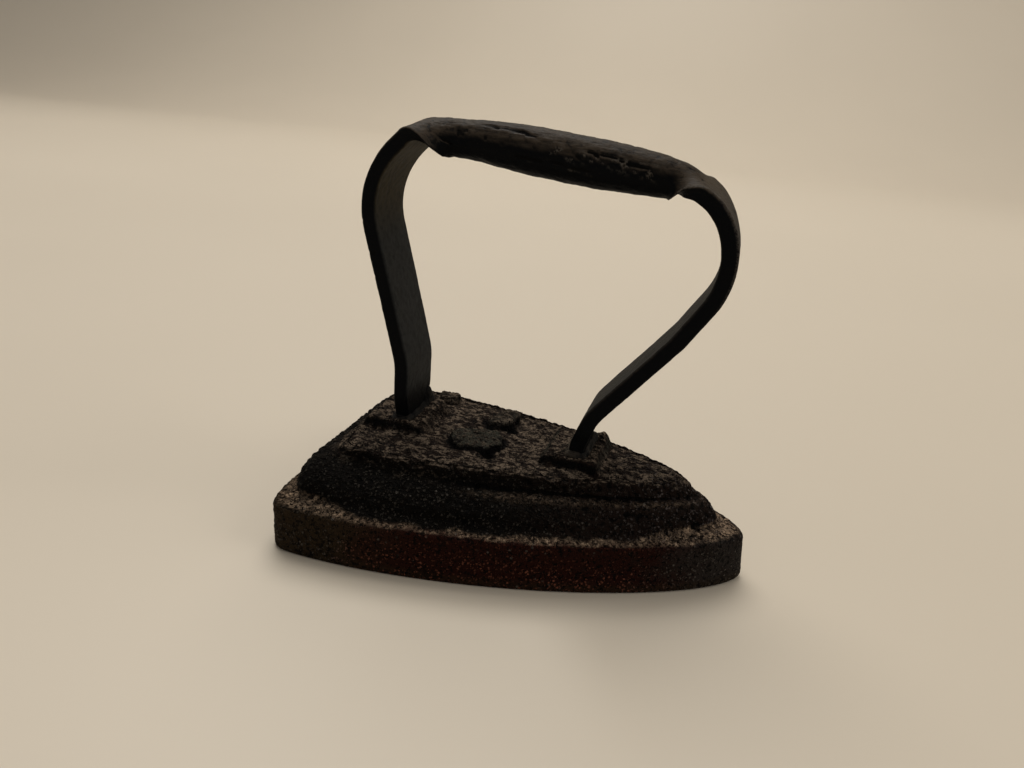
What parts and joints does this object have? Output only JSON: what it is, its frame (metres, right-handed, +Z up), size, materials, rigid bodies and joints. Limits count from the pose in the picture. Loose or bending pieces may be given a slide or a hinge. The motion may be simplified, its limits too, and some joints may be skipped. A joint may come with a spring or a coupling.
{
  "type": "flat iron",
  "caption": "Solid cast flat iron with a flanged, pointed sole, two bosses and a forged strap handle whose top is rolled into a grip.",
  "frame": {"origin": "on the sole's flat face, under the middle of the whole iron", "axes": "+X to the tip, +Z up out of the sole, +Y to the left of a user who looks towards the tip"},
  "size_m": [0.142, 0.0936, 0.1268],
  "materials": {
    "cast_body": "rough sand-cast, rusted brown and greasy black",
    "forged_handle": "forged scale, worn smooth at the bends",
    "packing": "dull grey-tan, cracked"
  },
  "bodies": {
    "root": {"body": "cast_body", "handle": "forged_handle", "heel_packing": "packing", "toe_packing": "packing"}
  },
  "joints": []
}
